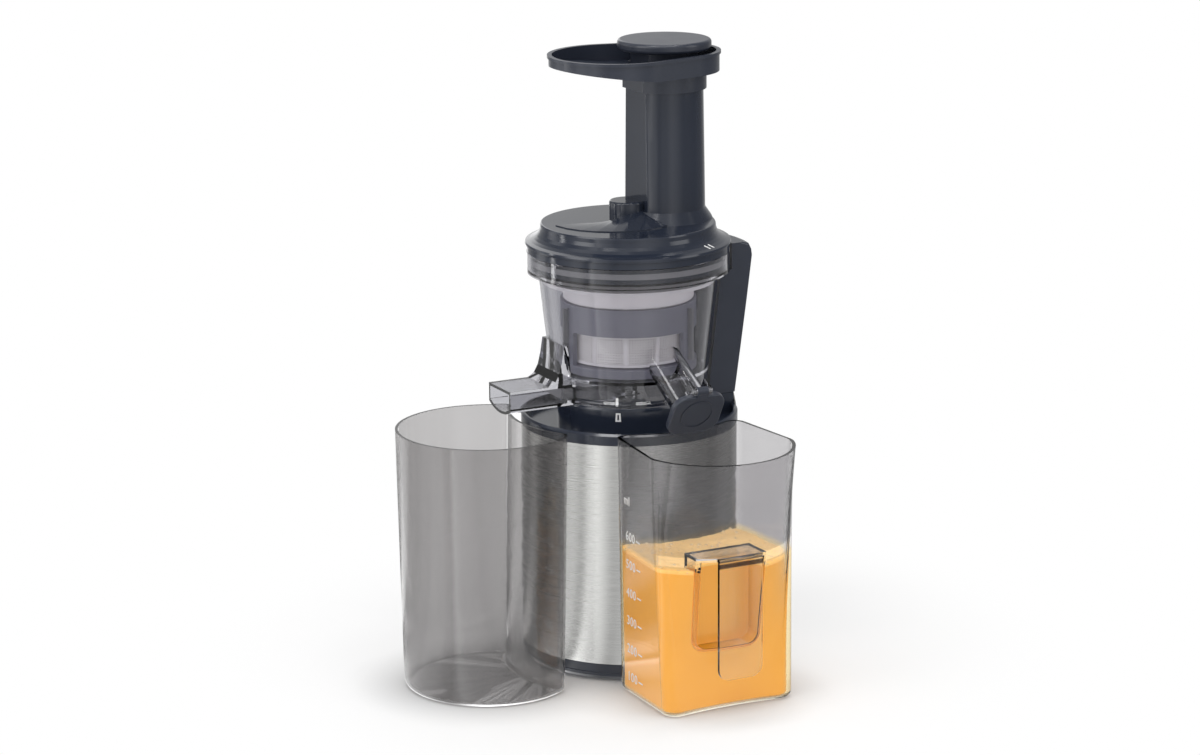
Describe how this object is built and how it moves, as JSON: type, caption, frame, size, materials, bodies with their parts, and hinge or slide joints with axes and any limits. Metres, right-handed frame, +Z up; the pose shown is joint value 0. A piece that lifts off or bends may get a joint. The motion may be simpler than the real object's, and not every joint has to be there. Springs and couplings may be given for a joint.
{
  "type": "cold press juicer",
  "caption": "Upright slow juicer: brushed steel motor base, leaning black arm, smoky clear bowl, lid with tall feed chute, tray, pusher, pulp tub and juice jug.",
  "frame": {"origin": "on the table under the drive axis of the juicer", "axes": "+Z up along the drive axis, +X towards the juice spout and jug, -Y towards the pulp spout and container, +Y towards the arm"},
  "size_m": [0.253, 0.2698, 0.435],
  "materials": {
    "black_plastic": "satin gloss black ABS",
    "black_rubber": "matte rubber",
    "brushed_steel": "vertically banded brushed stainless steel",
    "spring_steel": "drawn spring wire",
    "dark_plastic": "matte black engineering plastic",
    "circuit_board": "green circuit board",
    "zinc_plate": "zinc-plated steel",
    "ferrite": "sintered ferrite",
    "carbon": "pressed carbon",
    "bearing_steel": "ground steel",
    "armature_steel": "laminated core with copper windings",
    "white_nylon": "natural nylon",
    "gear_metal": "sintered iron gear",
    "screw_steel": "zinc-plated screws",
    "grey_silicone": "soft silicone",
    "smoke_clear": "smoky clear Tritan plastic, thick and glossy",
    "smoke_clear_tub": "grey smoke clear plastic",
    "smoke_clear_jug": "grey smoke clear plastic",
    "grey_plastic": "dark grey plastic",
    "pale_plastic": "pale translucent plastic",
    "sieve_steel": "perforated stainless sheet",
    "auger_plastic": "dark glass-filled plastic",
    "orange_juice": "cloudy orange juice with foam on top"
  },
  "bodies": {
    "base": {"base_pan": "black_plastic", "rubber_foot": "black_rubber", "steel_sleeve": "brushed_steel", "top_cover": "black_plastic", "arm_housing": "black_plastic", "arm_front_cover": "black_plastic", "arm_screws": "screw_steel", "interlock_spring": "spring_steel", "interlock_switch": "dark_plastic", "switch_bezel": "black_plastic", "cord_grommet": "black_rubber", "control_board": "circuit_board", "motor_can": "zinc_plate", "motor_end_cap": "dark_plastic", "motor_magnets": "ferrite", "carbon_brushes": "carbon", "motor_bearings": "bearing_steel", "output_bearings": "bearing_steel", "gearbox_base": "dark_plastic", "gearbox_cover": "dark_plastic", "gear_shafts": "bearing_steel", "base_screws": "screw_steel", "gearbox_screws": "screw_steel", "shaft_seal": "grey_silicone"},
    "interlock_plunger": {"interlock_plunger": "black_plastic"},
    "power_rocker": {"power_rocker": "dark_plastic"},
    "motor_rotor": {"armature": "armature_steel", "cooling_fan": "white_nylon", "motor_pinion": "bearing_steel"},
    "first_gear": {"first_gear": "white_nylon"},
    "second_gear": {"second_gear": "white_nylon"},
    "drive_shaft": {"output_shaft": "bearing_steel", "output_gear": "gear_metal"},
    "bowl": {"juice_bowl": "smoke_clear", "bowl_foot_seal": "grey_silicone", "pulp_flap": "grey_silicone", "cap_hinge_pin": "bearing_steel", "idler_pin": "bearing_steel", "strainer_frame": "pale_plastic", "strainer_mesh": "sieve_steel"},
    "spout_cap": {"spout_cap": "black_plastic", "spout_plug": "grey_silicone"},
    "idler_gear": {"idler_gear": "dark_plastic"},
    "brush_ring": {"brush_holder": "grey_plastic", "wiper_blades": "grey_silicone"},
    "auger": {"auger": "auger_plastic", "auger_bush": "bearing_steel", "auger_pin": "bearing_steel"},
    "lid": {"lid": "black_plastic", "lid_seal": "grey_silicone"},
    "feed_tray": {"feed_tray": "black_plastic"},
    "pusher": {"pusher": "black_plastic", "pusher_cap": "black_plastic"},
    "pulp_container": {"pulp_container": "smoke_clear_tub"},
    "juice_jug": {"juice_jug": "smoke_clear_jug", "orange_juice": "orange_juice"}
  },
  "joints": [
    {"name": "bowl_lift", "type": "slide", "parent": "base", "child": "bowl", "axis": [0, 0, 1], "range_m": [0, 0.09]},
    {"name": "lid_lift", "type": "slide", "parent": "bowl", "child": "lid", "axis": [0, 0, 1], "range_m": [0, 0.06]},
    {"name": "tray_lift", "type": "slide", "parent": "lid", "child": "feed_tray", "axis": [0, 0, 1], "range_m": [0, 0.05]},
    {"name": "pusher_slide", "type": "slide", "parent": "feed_tray", "child": "pusher", "axis": [0, 0, 1], "range_m": [0, 0.12]},
    {"name": "spout_cap_hinge", "type": "hinge", "parent": "bowl", "child": "spout_cap", "pos_m": [0.1063, 0, 0.21226], "axis": [0, -1, 0], "range_deg": [0, 115]},
    {"name": "output_spin", "type": "hinge", "parent": "base", "child": "drive_shaft", "pos_m": [0, 0, 0.15], "axis": [0, 0, 1], "continuous": true},
    {"name": "second_gear_spin", "type": "hinge", "parent": "base", "child": "second_gear", "pos_m": [-0.01198, -0.03553, 0.12], "axis": [0, 0, 1], "continuous": true},
    {"name": "first_gear_spin", "type": "hinge", "parent": "base", "child": "first_gear", "pos_m": [-0.03289, -0.01197, 0.11], "axis": [0, 0, 1], "continuous": true},
    {"name": "motor_spin", "type": "hinge", "parent": "base", "child": "motor_rotor", "pos_m": [0, 0, 0.06], "axis": [0, 0, 1], "continuous": true},
    {"name": "auger_spin", "type": "hinge", "parent": "bowl", "child": "auger", "pos_m": [0, 0, 0.24], "axis": [0, 0, 1], "continuous": true},
    {"name": "idler_spin", "type": "hinge", "parent": "bowl", "child": "idler_gear", "pos_m": [0, 0.024, 0.21], "axis": [0, 0, 1], "continuous": true},
    {"name": "brush_spin", "type": "hinge", "parent": "bowl", "child": "brush_ring", "pos_m": [0, 0, 0.23], "axis": [0, 0, 1], "continuous": true},
    {"name": "power_rocker_tilt", "type": "hinge", "parent": "base", "child": "power_rocker", "pos_m": [0, 0.073, 0.062], "axis": [1, 0, 0], "range_deg": [-9, 9]},
    {"name": "interlock_press", "type": "slide", "parent": "base", "child": "interlock_plunger", "axis": [0, 1, 0], "range_m": [0, 0.002], "stiffness_N_per_m": 300, "springref_m": -0.001, "deforming": ["interlock_spring"]},
    {"name": "pulp_container_slide", "type": "slide", "parent": "base", "child": "pulp_container", "axis": [0, -1, 0], "range_m": [0, 0.12]},
    {"name": "juice_jug_slide", "type": "slide", "parent": "base", "child": "juice_jug", "axis": [1, 0, 0], "range_m": [0, 0.12]}
  ],
  "couplings": [
    {"joint": "second_gear_spin", "follows": "output_spin", "ratio": -3},
    {"joint": "first_gear_spin", "follows": "output_spin", "ratio": 10.5},
    {"joint": "motor_spin", "follows": "output_spin", "ratio": -42},
    {"joint": "auger_spin", "follows": "output_spin", "ratio": 1},
    {"joint": "idler_spin", "follows": "output_spin", "ratio": -1},
    {"joint": "brush_spin", "follows": "output_spin", "ratio": -0.33333}
  ]
}
